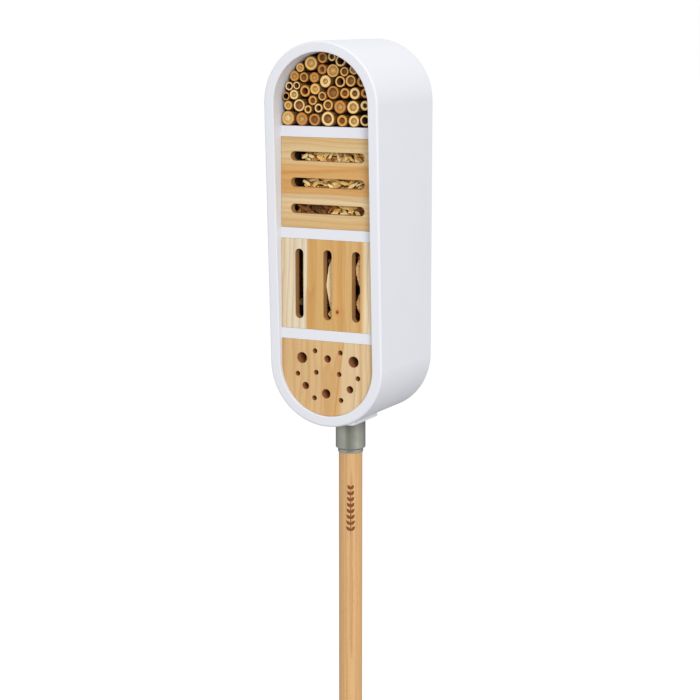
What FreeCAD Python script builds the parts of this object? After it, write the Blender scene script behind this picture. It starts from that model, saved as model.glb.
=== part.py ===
import FreeCAD, Part
import math
import os

from FreeCAD import Vector

# Insect hotel on a wooden stake. Millimetres, +Z up, the hotel's open front faces -Y.
# The origin is on the stake's axis at the ground line: the spike goes down from there.

# ---- housing: a bent wooden band shaped like a stadium, seen from the front ----
BAND_RADIUS = 70.0              # outer radius of both round ends, so the hotel is 140 wide
BAND_WALL = 12.0
ARC_LOW = 670.0                 # height of the lower round end's centre
ARC_SPAN = 291.0                # distance between the two round ends' centres
ARC_HIGH = ARC_LOW + ARC_SPAN
INNER_RADIUS = BAND_RADIUS - BAND_WALL
BACK_Y = 69.3                   # rear edge of the band
RIM_Y = -69.4                   # front edge at mid height
RIM_LEAN = 0.041                # the front edge leans out towards the top by this slope
RIM_ROUND = 2.4
BACK_ROUND = 1.5

# ---- what stands inside the band ----
PANEL_Y = -57.7                 # front plane of shelves, boards, tubes and block
BACK_PANEL = 8.0
BACK_PANEL_INSET = 2.0
BACK_PANEL_Y = BACK_Y - BACK_PANEL_INSET - BACK_PANEL
FIT_GAP = 0.3                   # assembly gap round loose boards
SHELF = 12.0
SHELF_LOWER_Z = ARC_LOW + 33.7
SHELF_MIDDLE_Z = ARC_LOW + 147.8
SHELF_UPPER_Z = ARC_LOW + 261.0
BOARD = 10.0                    # thickness of the slotted boards
BOARD_BACK_Y = PANEL_Y + BOARD

# ---- slots ----
SLOT_WIDTH = 10.5
WIDE_SLOT = 92.0
WIDE_SLOT_PITCH = 29.2
TALL_SLOT = 79.0
TALL_SLOT_PITCH = 35.5

# ---- drilled nest block ----
BLOCK_DEPTH = 100.0
LARGE_DRILL = 12.8
MEDIUM_DRILL = 8.6
SMALL_DRILL = 6.0
DRILL_DEPTH = 85.0

# ---- bamboo tubes: x, height above the shelf, outside diameter and bore, row by row ----
TUBE_LENGTH = 106.0
TUBE_NODE = 8.0                 # closed knot left at the back of each tube
TUBE_CLEARANCE = 0.15
SETTLING_ROUNDS = 400
BAMBOO_ROWS = (
    ((-49, 8, 16.6, 10), (-32, 7.5, 15, 7.5), (-15.5, 7.5, 13.8, 8.5), (1, 9, 17, 10),
     (18, 7, 13.4, 7), (33, 7, 13.4, 7), (47, 8, 13, 8)),
    ((-49, 22, 10.8, 5), (-35, 23, 14.4, 9.5), (-23.5, 18.5, 9.8, 5), (-11, 20.5, 10.6, 6),
     (0.5, 24, 12.6, 7.5), (16, 22, 15, 8), (32, 22, 15, 8.5), (46, 24, 11.5, 5)),
    ((-51, 32.5, 9.6, 6), (-41, 34, 11.4, 6), (-18, 28, 11.2, 6), (-27.5, 38.5, 13.4, 7.5),
     (-6, 33.5, 10.4, 6.4), (7, 37.5, 15, 10), (21.5, 37, 12, 6.4), (35, 37, 13.4, 6.6),
     (46, 37.5, 11.5, 5)),
    ((-47.5, 43.5, 10.2, 6), (-38, 44.5, 9.2, 5.6), (-14, 40.5, 12.8, 6), (-2.5, 49.5, 14.2, 6),
     (16, 49.5, 13, 8.4), (30, 51, 13.2, 8.2), (41.5, 50, 12, 6)),
    ((-41, 54.5, 12.2, 5.8), (-28.5, 53.5, 11.4, 7), (-16, 53.5, 11.8, 5.2), (-6.5, 62.5, 11.8, 5.4),
     (7.5, 61.5, 15, 10.4), (21.5, 60.5, 10.8, 6.6), (32.5, 62.5, 11.6, 6.6)),
    ((-33.5, 64, 10.6, 5), (-19.5, 69, 16, 9), (-6, 75.5, 12.6, 7.2), (6, 76.5, 10.4, 5.4),
     (16.5, 72, 13.4, 8.4)),
)

# ---- stake, cap and spike ----
POLE_RADIUS = 13.7
POLE_BOTTOM = 24.0
CAP_BOTTOM = 561.5
CAP_TOP = 585.5
CAP_WALL = 1.0
SOCKET_BOTTOM = 20.0
SOCKET_TOP = 110.0
SOCKET_WALL = 1.5
SOCKET_SCREW_Z = 88.0
FOOT_BAR_LENGTH = 120.0
FOOT_BAR_WIDTH = 30.0
FOOT_BAR = 5.0
SPIKE_RADIUS = 7.0
SPIKE_TENON = 5.0
SPIKE_SHOULDER = -120.0
SPIKE_TIP = -160.0

# ---- sleeve that carries the hotel on the stake ----
SADDLE_LENGTH = 68.0
SADDLE_WIDTH = 40.0
SADDLE = 2.0                    # thickness under the band's lowest line
SADDLE_BOTTOM = ARC_LOW - BAND_RADIUS - SADDLE
SLEEVE_RADIUS = 17.25
SLEEVE_WALL = 1.5
SLEEVE_END = 2.0
SLEEVE_STEP = 565.2             # height where the sleeve steps in to its neck
NECK_BOTTOM = 560.0
NECK_RADIUS = 14.6
NECK_BORE = POLE_RADIUS + 0.1
LINER_BORE = POLE_RADIUS + 0.05
LINER_BOTTOM = 567.0
LINER_CROWN = 8.0
CROWN_HOLE = 9.0
WEAR_RING = 2.5
WEAR_RING_HOLE = 7.0
BOLT_RADIUS = 3.0
BOLT_TOP = ARC_LOW - INNER_RADIUS + 8.0
BOLT_HEAD = 4.0
WASHER = 1.0
TEE_NUT_FLANGE = 9.0
TEE_NUT_BARREL = 4.2
TEE_NUT_SHEET = 1.5

UP = Vector(0, 0, 1)
ALONG_Y = Vector(0, 1, 0)


def stadium_face(radius, y):
    """Face in an X-Z plane: two half circles joined by straight sides."""
    right_low = Vector(radius, y, ARC_LOW)
    left_low = Vector(-radius, y, ARC_LOW)
    right_high = Vector(radius, y, ARC_HIGH)
    left_high = Vector(-radius, y, ARC_HIGH)
    top = Part.Arc(right_high, Vector(0, y, ARC_HIGH + radius), left_high).toShape()
    bottom = Part.Arc(left_low, Vector(0, y, ARC_LOW - radius), right_low).toShape()
    left = Part.makeLine(left_high, left_low)
    right = Part.makeLine(right_low, right_high)
    return Part.Face(Part.Wire([top, left, bottom, right]))


def stadium_slab(radius, y_front, y_back):
    return stadium_face(radius, y_front).extrude(Vector(0, y_back - y_front, 0))


def block(x_low, x_high, y_low, y_high, z_low, z_high):
    corner = Vector(x_low, y_low, z_low)
    return Part.makeBox(x_high - x_low, y_high - y_low, z_high - z_low, corner)


def rod(radius, z_low, z_high):
    return Part.makeCylinder(radius, z_high - z_low, Vector(0, 0, z_low), UP)


def drill_y(x, z, diameter, y_from, depth):
    return Part.makeCylinder(diameter / 2, depth, Vector(x, y_from, z), ALONG_Y)


def turned(profile):
    """Solid of revolution about the stake's axis from (radius, height) points."""
    points = [Vector(radius, 0, height) for radius, height in profile]
    outline = Part.makePolygon(points + [points[0]])
    return Part.Face(outline).revolve(Vector(0, 0, 0), UP, 360)


def rim_y(z):
    """Depth of the band's leaning front edge at a height."""
    middle = (ARC_LOW + ARC_HIGH) / 2
    return RIM_Y - RIM_LEAN * (z - middle)


def housing():
    too_far_front = -120.0
    band = stadium_slab(BAND_RADIUS, too_far_front, BACK_Y)
    band = band.cut(stadium_slab(INNER_RADIUS, too_far_front - 1, BACK_Y + 1))
    low = ARC_LOW - 2 * BAND_RADIUS
    high = ARC_HIGH + 2 * BAND_RADIUS
    reach = BAND_RADIUS + 1
    outline = [
        Vector(-reach, too_far_front - 2, low),
        Vector(-reach, rim_y(low), low),
        Vector(-reach, rim_y(high), high),
        Vector(-reach, too_far_front - 2, high),
    ]
    wedge = Part.Face(Part.makePolygon(outline + [outline[0]])).extrude(Vector(2 * reach, 0, 0))
    band = band.cut(wedge)
    front = [edge for edge in band.Edges if lies_on_rim(edge)]
    band = band.makeFillet(RIM_ROUND, front)
    back = [edge for edge in band.Edges if lies_on_back(edge)]
    band = band.makeFillet(BACK_ROUND, back)
    bolt_hole = rod(TEE_NUT_BARREL, ARC_LOW - BAND_RADIUS - 1, ARC_LOW - INNER_RADIUS + 1)
    return band.cut(bolt_hole).cut(saddle_screws())


def lies_on_rim(edge):
    return all(abs(vertex.Y - rim_y(vertex.Z)) < 0.01 for vertex in edge.Vertexes)


def lies_on_back(edge):
    return all(abs(vertex.Y - BACK_Y) < 0.01 for vertex in edge.Vertexes)


def shelf(z_middle):
    low = z_middle - SHELF / 2
    plank = block(-INNER_RADIUS, INNER_RADIUS, PANEL_Y, BACK_PANEL_Y, low, low + SHELF)
    return plank.cut(back_panel_screws())


def back_panel():
    plate = stadium_slab(INNER_RADIUS - FIT_GAP / 2, BACK_PANEL_Y, BACK_PANEL_Y + BACK_PANEL)
    return plate.cut(back_panel_screws())


def wood_screw(tip, direction, length, radius, head_radius, head):
    """Countersunk screw: tip, direction from tip to head, shank and conical head."""
    shank = Part.makeCylinder(radius, length - head, tip, direction)
    neck = tip + direction * (length - head)
    cone = Part.makeCone(radius, head_radius, head, neck, direction)
    return shank.fuse(cone).removeSplitter()


def back_panel_screws():
    """Two screws through the back panel into the rear edge of every shelf."""
    head_y = BACK_PANEL_Y + BACK_PANEL
    length = 26.0
    screws = []
    for z in (SHELF_LOWER_Z, SHELF_MIDDLE_Z, SHELF_UPPER_Z):
        for x in (-38.0, 38.0):
            screws.append(wood_screw(Vector(x, head_y - length, z), ALONG_Y, length, 1.75, 3.6, 2.2))
    return Part.makeCompound(screws)


def slot_cutter(x, z, length, across, horizontal):
    """Rounded slot through a slotted board, centred on x and z."""
    half = (length - across) / 2
    y_low = PANEL_Y - 1
    depth = BOARD + 2
    if horizontal:
        ends = ((x - half, z), (x + half, z))
        middle = block(x - half, x + half, y_low, y_low + depth, z - across / 2, z + across / 2)
    else:
        ends = ((x, z - half), (x, z + half))
        middle = block(x - across / 2, x + across / 2, y_low, y_low + depth, z - half, z + half)
    for end_x, end_z in ends:
        middle = middle.fuse(drill_y(end_x, end_z, across, y_low, depth))
    return middle.removeSplitter()


def board_between(z_low, z_high):
    reach = INNER_RADIUS - FIT_GAP
    return block(-reach, reach, PANEL_Y, BOARD_BACK_Y, z_low + FIT_GAP / 2, z_high - FIT_GAP / 2)


def board_wide_slots():
    low = SHELF_MIDDLE_Z + SHELF / 2
    high = SHELF_UPPER_Z - SHELF / 2
    board = board_between(low, high)
    for step in (-1, 0, 1):
        z = (low + high) / 2 + step * WIDE_SLOT_PITCH
        board = board.cut(slot_cutter(0, z, WIDE_SLOT, SLOT_WIDTH, True))
    return board


def board_tall_slots():
    low = SHELF_LOWER_Z + SHELF / 2
    high = SHELF_MIDDLE_Z - SHELF / 2
    board = board_between(low, high)
    for step in (-1, 0, 1):
        x = step * TALL_SLOT_PITCH
        board = board.cut(slot_cutter(x, (low + high) / 2, TALL_SLOT, SLOT_WIDTH, False))
    return board


def bark_chips():
    """Strips of bark laid front to back behind the board with the wide slots."""
    low = SHELF_MIDDLE_Z + SHELF / 2
    front = BOARD_BACK_Y + 3
    back = BACK_PANEL_Y - 4
    columns = 5
    layers = 6
    column_width = 22.0
    layer_height = 16.0
    strips = []
    for layer in range(layers):
        for column in range(columns):
            x = (column - (columns - 1) / 2) * column_width
            z = low + layer_height * layer
            shift = 1.5 * math.sin(2.1 * column + 1.3 * layer)
            strips.append(block(x - 9, x + 9, front, back + shift, z + 1, z + 12 + shift))
    return Part.makeCompound(strips)


def bowed_strip(x, y, facing, z_low, z_high):
    """Upright shaving whose hollow side turns away from the facing angle, in degrees."""
    radius = 24.0
    wall = 1.8
    sweep = 70.0
    centre_x = x - radius * math.cos(math.radians(facing))
    centre_y = y - radius * math.sin(math.radians(facing))
    foot = Vector(centre_x, centre_y, z_low)
    outer = Part.makeCylinder(radius, z_high - z_low, foot, UP, sweep)
    inner = Part.makeCylinder(radius - wall, z_high - z_low, foot, UP, sweep)
    strip = outer.cut(inner)
    strip.rotate(foot, UP, facing - sweep / 2)
    return strip


def wood_shavings():
    """Upright bowed shavings behind the board with the tall slots."""
    low = SHELF_LOWER_Z + SHELF / 2
    high = SHELF_MIDDLE_Z - SHELF / 2 - 6
    front = BOARD_BACK_Y + 10
    strips = []
    for row in range(4):
        for column in range(3):
            x = 37.0 * (column - 1)
            y = front + 27.0 * row
            facing = -90.0 + 20.0 * math.sin(2.4 * column + 1.7 * row)
            strips.append(bowed_strip(x, y, facing, low, high - 4 * row))
    return Part.makeCompound(strips)


def nest_holes():
    """Blind holes drilled into the lower block, mirrored about the middle."""
    mirrored = (
        (32.5, 6.5, LARGE_DRILL),
        (16.0, 15.5, SMALL_DRILL),
        (14.5, -9.0, SMALL_DRILL),
        (38.0, -12.0, SMALL_DRILL),
        (28.0, -25.3, MEDIUM_DRILL),
        (16.8, -38.5, SMALL_DRILL),
    )
    middle = ((0.0, 7.5, MEDIUM_DRILL), (-2.0, -32.5, 11.0))
    places = list(middle)
    for x, z, diameter in mirrored:
        places.append((x, z, diameter))
        places.append((-x, z, diameter))
    return [drill_y(x, ARC_LOW + z, size, PANEL_Y - 1, DRILL_DEPTH + 1) for x, z, size in places]


def nest_block():
    reach = INNER_RADIUS - FIT_GAP
    top = SHELF_LOWER_Z - SHELF / 2 - FIT_GAP / 2
    back = PANEL_Y + BLOCK_DEPTH
    round_end = drill_y(0, ARC_LOW, 2 * reach, PANEL_Y, BLOCK_DEPTH)
    below = block(-reach, reach, PANEL_Y, back, ARC_LOW - 2 * reach, ARC_LOW)
    above = block(-reach, reach, PANEL_Y, back, ARC_LOW, top)
    solid = round_end.common(below).fuse(above).removeSplitter()
    for hole in nest_holes():
        solid = solid.cut(hole)
    pocket = rod(TEE_NUT_FLANGE + 0.5, ARC_LOW - INNER_RADIUS - 1, ARC_LOW - INNER_RADIUS + 3)
    clearance = rod(BOLT_RADIUS + 1, ARC_LOW - INNER_RADIUS - 1, BOLT_TOP + 1)
    return solid.cut(pocket).cut(clearance)


def push_apart(first, second):
    """Move two tubes that overlap away from each other by half the overlap each."""
    across = second["x"] - first["x"]
    up = second["z"] - first["z"]
    distance = math.hypot(across, up)
    overlap = first["r"] + second["r"] + TUBE_CLEARANCE - distance
    if overlap > 0:
        for tube, side in ((first, -0.5), (second, 0.5)):
            tube["x"] += side * overlap * across / distance
            tube["z"] += side * overlap * up / distance


def keep_inside(tube):
    """Hold a tube above the shelf and inside the band's walls and arch."""
    reach = INNER_RADIUS - TUBE_CLEARANCE - tube["r"]
    floor = SHELF_UPPER_Z + SHELF / 2 + TUBE_CLEARANCE + tube["r"]
    tube["z"] = max(tube["z"], floor)
    rise = max(tube["z"] - ARC_HIGH, 0)
    distance = math.hypot(tube["x"], rise)
    if distance > reach:
        tube["x"] *= reach / distance
        tube["z"] -= rise * (1 - reach / distance)


def settled_tubes():
    """Shake the roughly placed tubes until none of them overlap."""
    shelf_top = SHELF_UPPER_Z + SHELF / 2
    tubes = []
    for number, row in enumerate(BAMBOO_ROWS):
        for x, height, outside, bore in row:
            tubes.append({"row": number, "x": x, "z": shelf_top + height, "r": outside / 2, "bore": bore})
    for _ in range(SETTLING_ROUNDS):
        for index, first in enumerate(tubes):
            for second in tubes[index + 1:]:
                push_apart(first, second)
        for tube in tubes:
            keep_inside(tube)
    return tubes


def bamboo_tube(x, z, outside, bore, front):
    tube = drill_y(x, z, outside, front, TUBE_LENGTH)
    return tube.cut(drill_y(x, z, bore, front - 1, TUBE_LENGTH - TUBE_NODE + 1))


def bamboo_rows():
    """The settled tubes, gathered into one compound for each row."""
    rows = [[] for _ in BAMBOO_ROWS]
    for index, tube in enumerate(settled_tubes()):
        front = PANEL_Y + 0.8 * math.sin(1.9 * index)
        shape = bamboo_tube(tube["x"], tube["z"], 2 * tube["r"], tube["bore"], front)
        rows[tube["row"]].append(shape)
    return [Part.makeCompound(row) for row in rows]


def saddle_plate():
    """White pad under the band: flat below, hollowed to the band's curve above."""
    half_x = SADDLE_WIDTH / 2
    half_y = SADDLE_LENGTH / 2
    pad = block(-half_x, half_x, -half_y, half_y, SADDLE_BOTTOM, SADDLE_BOTTOM + 3 * SADDLE)
    corners = [edge for edge in pad.Edges if edge.BoundBox.ZLength > SADDLE]
    pad = pad.makeFillet(6.0, corners)
    pad = pad.cut(drill_y(0, ARC_LOW, 2 * BAND_RADIUS, -half_y - 1, SADDLE_LENGTH + 2))
    bolt_hole = rod(BOLT_RADIUS, SADDLE_BOTTOM - 1, ARC_LOW)
    return pad.cut(bolt_hole).cut(saddle_screws())


def saddle_screws():
    length = 11.0
    screws = []
    for y in (-26.0, 26.0):
        tip = Vector(0, y, SADDLE_BOTTOM + length)
        screws.append(wood_screw(tip, Vector(0, 0, -1), length, 1.6, 3.2, 1.8))
    return Part.makeCompound(screws)


def sleeve():
    """Metal cup on the saddle, open below, stepped in to a short neck round the stake."""
    bore = SLEEVE_RADIUS - SLEEVE_WALL
    ceiling = SADDLE_BOTTOM - SLEEVE_END
    profile = (
        (BOLT_RADIUS, ceiling),
        (bore, ceiling),
        (bore, LINER_BOTTOM),
        (NECK_BORE, LINER_BOTTOM),
        (NECK_BORE, NECK_BOTTOM),
        (NECK_RADIUS - 0.3, NECK_BOTTOM),
        (NECK_RADIUS, NECK_BOTTOM + 0.3),
        (NECK_RADIUS, SLEEVE_STEP - 1.2),
        (SLEEVE_RADIUS - 1.3, SLEEVE_STEP),
        (SLEEVE_RADIUS - 0.4, SLEEVE_STEP + 0.3),
        (SLEEVE_RADIUS, SLEEVE_STEP + 0.9),
        (SLEEVE_RADIUS, SADDLE_BOTTOM),
        (BOLT_RADIUS, SADDLE_BOTTOM),
    )
    return turned(profile)


def sleeve_liner():
    outside = SLEEVE_RADIUS - SLEEVE_WALL
    top = SADDLE_BOTTOM - SLEEVE_END
    profile = (
        (LINER_BORE, LINER_BOTTOM),
        (outside, LINER_BOTTOM),
        (outside, top),
        (CROWN_HOLE, top),
        (CROWN_HOLE, top - LINER_CROWN),
        (LINER_BORE, top - LINER_CROWN),
    )
    return turned(profile)


def wear_ring():
    bottom = CAP_TOP
    ring = rod(POLE_RADIUS - 0.5, bottom, bottom + WEAR_RING)
    return ring.cut(rod(WEAR_RING_HOLE, bottom - 1, bottom + WEAR_RING + 1))


def sleeve_bolt():
    head_top = SADDLE_BOTTOM - SLEEVE_END - WASHER
    flats = Part.makePolygon([hex_corner(index, 5.5, head_top - BOLT_HEAD) for index in range(7)])
    head = Part.Face(flats).extrude(Vector(0, 0, BOLT_HEAD))
    return head.fuse(rod(BOLT_RADIUS, head_top, BOLT_TOP)).removeSplitter()


def hex_corner(index, radius, z):
    angle = math.radians(60 * index)
    return Vector(radius * math.cos(angle), radius * math.sin(angle), z)


def bolt_washer():
    top = SADDLE_BOTTOM - SLEEVE_END
    disc = rod(7.0, top - WASHER, top)
    return disc.cut(rod(BOLT_RADIUS, top - WASHER - 1, top + 1))


def tee_nut():
    flange_bottom = ARC_LOW - INNER_RADIUS + 0.8
    flange = rod(TEE_NUT_FLANGE, flange_bottom, flange_bottom + TEE_NUT_SHEET)
    barrel = rod(TEE_NUT_BARREL, flange_bottom - 9.0, flange_bottom)
    bore = rod(BOLT_RADIUS, flange_bottom - 10, flange_bottom + TEE_NUT_SHEET + 1)
    return flange.fuse(barrel).cut(bore).removeSplitter()


def stake_pole():
    inside_cap = POLE_RADIUS - CAP_WALL
    pole = rod(POLE_RADIUS, POLE_BOTTOM, CAP_BOTTOM).fuse(rod(inside_cap, CAP_BOTTOM, CAP_TOP - CAP_WALL))
    return pole.removeSplitter().cut(cap_screw()).cut(socket_screws())


def pole_cap():
    cup = rod(POLE_RADIUS, CAP_BOTTOM, CAP_TOP)
    cup = cup.cut(rod(POLE_RADIUS - CAP_WALL, CAP_BOTTOM - 1, CAP_TOP - CAP_WALL))
    return cup.cut(cap_screw())


def cap_screw():
    shank = rod(1.8, CAP_TOP - 25, CAP_TOP)
    head = rod(4.0, CAP_TOP, CAP_TOP + 2.2)
    edge = [item for item in head.Edges if item.BoundBox.ZMin > CAP_TOP + 1 and item.BoundBox.XLength > 1]
    return head.makeFillet(1.0, edge).fuse(shank).removeSplitter()


def spike_socket():
    outside = POLE_RADIUS + SOCKET_WALL
    cup = rod(outside, SOCKET_BOTTOM, SOCKET_TOP)
    mouth = [edge for edge in cup.Edges if edge.BoundBox.ZMin > SOCKET_TOP - 1]
    cup = cup.makeChamfer(0.8, mouth)
    cup = cup.cut(rod(POLE_RADIUS, POLE_BOTTOM, SOCKET_TOP + 1))
    return cup.cut(socket_screws())


def socket_screws():
    """Two round-headed screws that hold the stake in its socket, one each side."""
    seat = POLE_RADIUS + SOCKET_WALL
    screws = []
    for side in (-1, 1):
        outward = Vector(side, 0, 0)
        tip = Vector(side * (seat - 11), 0, SOCKET_SCREW_Z)
        shank = Part.makeCylinder(2.0, 11.0, tip, outward)
        head = Part.makeCone(4.2, 3.0, 2.2, Vector(side * seat, 0, SOCKET_SCREW_Z), outward)
        screws.append(shank.fuse(head).removeSplitter())
    return Part.makeCompound(screws)


def foot_bar():
    """Cross bar to step on, which also stops the stake turning in the soil."""
    half_x = FOOT_BAR_LENGTH / 2
    half_y = FOOT_BAR_WIDTH / 2
    bar = block(-half_x, half_x, -half_y, half_y, SOCKET_BOTTOM - FOOT_BAR, SOCKET_BOTTOM)
    corners = [edge for edge in bar.Edges if edge.BoundBox.ZLength > FOOT_BAR / 2]
    bar = bar.makeFillet(half_y - 1, corners)
    return bar.cut(rod(SPIKE_TENON, 0, SOCKET_BOTTOM + 1))


def ground_spike():
    shoulder = SOCKET_BOTTOM - FOOT_BAR
    profile = (
        (0, SPIKE_TIP),
        (1.0, SPIKE_TIP + 1),
        (SPIKE_RADIUS, SPIKE_SHOULDER),
        (SPIKE_RADIUS, shoulder),
        (SPIKE_TENON, shoulder),
        (SPIKE_TENON, SOCKET_BOTTOM),
        (0, SOCKET_BOTTOM),
    )
    return turned(profile)


def build():
    parts = {
        "housing": housing(),
        "back_panel": back_panel(),
        "back_panel_screws": back_panel_screws(),
        "shelf_lower": shelf(SHELF_LOWER_Z),
        "shelf_middle": shelf(SHELF_MIDDLE_Z),
        "shelf_upper": shelf(SHELF_UPPER_Z),
        "board_wide_slots": board_wide_slots(),
        "board_tall_slots": board_tall_slots(),
        "bark_chips": bark_chips(),
        "wood_shavings": wood_shavings(),
        "nest_block": nest_block(),
        "saddle_plate": saddle_plate(),
        "saddle_screws": saddle_screws(),
        "sleeve": sleeve(),
        "sleeve_liner": sleeve_liner(),
        "sleeve_bolt": sleeve_bolt(),
        "bolt_washer": bolt_washer(),
        "tee_nut": tee_nut(),
        "wear_ring": wear_ring(),
        "stake_pole": stake_pole(),
        "pole_cap": pole_cap(),
        "cap_screw": cap_screw(),
        "spike_socket": spike_socket(),
        "socket_screws": socket_screws(),
        "foot_bar": foot_bar(),
        "ground_spike": ground_spike(),
    }
    for number, row in enumerate(bamboo_rows(), start=1):
        parts["bamboo_row_%d" % number] = row
    return parts


os.makedirs("parts", exist_ok=True)
for node, shape in build().items():
    shape.exportStep("parts/%s.step" % node)
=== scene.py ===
"""Insect hotel on a stake: a white round-ended band with cane tubes, slotted boards and a nest block."""
import math
import random

import bmesh
import bpy
from mathutils import Matrix, Vector, noise


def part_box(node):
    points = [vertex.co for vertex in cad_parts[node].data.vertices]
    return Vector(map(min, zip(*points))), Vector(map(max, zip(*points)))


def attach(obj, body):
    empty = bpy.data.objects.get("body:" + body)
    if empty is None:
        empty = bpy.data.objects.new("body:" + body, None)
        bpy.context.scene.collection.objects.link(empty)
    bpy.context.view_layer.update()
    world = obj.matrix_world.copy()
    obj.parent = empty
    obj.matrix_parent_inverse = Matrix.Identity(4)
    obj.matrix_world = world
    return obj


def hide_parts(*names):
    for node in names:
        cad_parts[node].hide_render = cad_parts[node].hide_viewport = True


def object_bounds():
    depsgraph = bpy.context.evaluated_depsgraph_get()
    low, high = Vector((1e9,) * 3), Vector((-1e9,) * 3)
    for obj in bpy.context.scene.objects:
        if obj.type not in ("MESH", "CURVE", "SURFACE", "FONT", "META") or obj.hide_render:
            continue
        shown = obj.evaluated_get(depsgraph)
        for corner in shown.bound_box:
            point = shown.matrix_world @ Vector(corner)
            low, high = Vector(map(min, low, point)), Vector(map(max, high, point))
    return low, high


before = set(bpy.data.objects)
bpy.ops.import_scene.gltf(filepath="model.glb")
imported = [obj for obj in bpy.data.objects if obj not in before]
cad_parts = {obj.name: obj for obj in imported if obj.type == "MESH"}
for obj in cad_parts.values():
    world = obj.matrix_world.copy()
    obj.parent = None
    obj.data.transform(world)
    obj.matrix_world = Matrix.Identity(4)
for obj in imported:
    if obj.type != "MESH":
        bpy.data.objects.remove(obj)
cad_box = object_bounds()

MM = 0.001

# ---------------------------------------------------------------- places read from the frame
band_low, band_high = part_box("housing")
BAND_RADIUS = band_high.x
ARC_LOW = band_low.z + BAND_RADIUS
ARC_HIGH = band_high.z - BAND_RADIUS
BACK_Y = band_high.y
BAND_WALL = BAND_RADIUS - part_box("shelf_upper")[1].x
RIM_LEAN = 0.041
PANEL_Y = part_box("nest_block")[0].y
BOARD_BACK_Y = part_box("board_wide_slots")[1].y
BACK_PANEL_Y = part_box("back_panel")[0].y
STAKE_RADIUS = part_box("stake_pole")[1].x
NECK_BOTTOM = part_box("sleeve")[0].z
FLOOR_Z = cad_box[0][2]


def rim_y(height):
    """Depth of the band's leaning front edge at a height."""
    return band_low.y + RIM_LEAN * (band_high.z - height)


# ---------------------------------------------------------------- shader helpers
def paint(red, green, blue):
    """A finish as a person reads it off a paint chart (0 to 255), as the renderer's linear colour."""
    linear = []
    for value in (red, green, blue):
        share = value / 255
        linear.append(share / 12.92 if share <= 0.04045 else ((share + 0.055) / 1.055) ** 2.4)
    return (*linear, 1.0)


def feed(tree, sockets, values):
    """Link or set sockets, given by name or number."""
    for name, value in values.items():
        if isinstance(value, bpy.types.NodeSocket):
            tree.links.new(value, sockets[name])
        else:
            sockets[name].default_value = value


def add(tree, kind, inputs=None, **settings):
    """Add a node, set its properties, and feed its inputs."""
    node = tree.nodes.new(kind)
    for name, value in settings.items():
        setattr(node, name, value)
    feed(tree, node.inputs, inputs or {})
    return node


def calc(tree, operation, first, second=0.0, third=0.0, clamp=False):
    """Work out one value from up to three others."""
    inputs = {0: first, 1: second, 2: third}
    return add(tree, "ShaderNodeMath", inputs, operation=operation, use_clamp=clamp).outputs[0]


def blend(tree, factor, first, second, mode="MIX"):
    """Go from the first colour to the second as the factor goes from 0 to 1."""
    inputs = {0: factor, 6: first, 7: second}
    node = add(tree, "ShaderNodeMix", inputs, data_type="RGBA", blend_type=mode)
    return node.outputs[2]


def remap(tree, value, low, high, to_low=0.0, to_high=1.0, smooth=False):
    """Carry a value from one range to another, held at both ends."""
    inputs = {"Value": value, "From Min": low, "From Max": high, "To Min": to_low, "To Max": to_high}
    kind = "SMOOTHSTEP" if smooth else "LINEAR"
    node = add(tree, "ShaderNodeMapRange", inputs, interpolation_type=kind)
    return node.outputs["Result"]


def ramp(tree, factor, stops):
    """Read a colour off a row of stops, each a place and the red, green and blue of its paint."""
    node = add(tree, "ShaderNodeValToRGB", {"Fac": factor})
    elements = node.color_ramp.elements
    for element, (position, *shades) in zip(elements, (stops[0], stops[-1])):
        element.position = position
        element.color = paint(*shades)
    for position, *shades in stops[1:-1]:
        elements.new(position).color = paint(*shades)
    return node.outputs["Color"]


def stretched(tree, vector, scale):
    """The pattern's coordinates, scaled along each axis."""
    return add(tree, "ShaderNodeMapping", {"Vector": vector, "Scale": scale}).outputs["Vector"]


def cloud(tree, vector, scale=1.0, detail=3.0, roughness=0.55):
    """Cloudy noise about one half."""
    inputs = {"Vector": vector, "Scale": scale, "Detail": detail, "Roughness": roughness}
    return add(tree, "ShaderNodeTexNoise", inputs).outputs["Fac"]


def own_place(tree):
    """Object coordinates: where the point is, in metres, with the hotel at rest."""
    return add(tree, "ShaderNodeTexCoord").outputs["Object"]


def attribute(tree, name):
    return add(tree, "ShaderNodeAttribute", attribute_name=name).outputs["Fac"]


def use_group(tree, group, inputs):
    return add(tree, "ShaderNodeGroup", inputs, node_tree=group)


def new_group(name, inputs, outputs):
    tree = bpy.data.node_groups.new(name, "ShaderNodeTree")
    for label, kind, value in inputs:
        socket = tree.interface.new_socket(label, in_out="INPUT", socket_type=kind)
        if value is not None:
            socket.default_value = value
    for label, kind in outputs:
        tree.interface.new_socket(label, in_out="OUTPUT", socket_type=kind)
    source = tree.nodes.new("NodeGroupInput")
    target = tree.nodes.new("NodeGroupOutput")
    return tree, source.outputs, target.inputs


def new_material(name):
    material = bpy.data.materials.new(name)
    material.use_nodes = True
    tree = material.node_tree
    tree.nodes.clear()
    shader = tree.nodes.new("ShaderNodeBsdfPrincipled")
    output = tree.nodes.new("ShaderNodeOutputMaterial")
    tree.links.new(shader.outputs[0], output.inputs["Surface"])
    return material, tree, shader


def connect(tree, shader, **inputs):
    """Link or set the shader's sockets; underscores stand for spaces."""
    feed(tree, shader.inputs, {name.replace("_", " "): value for name, value in inputs.items()})


def relief(tree, height, distance, strength):
    """A bumped normal."""
    inputs = {"Height": height, "Distance": distance, "Strength": strength}
    return add(tree, "ShaderNodeBump", inputs).outputs["Normal"]


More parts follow.
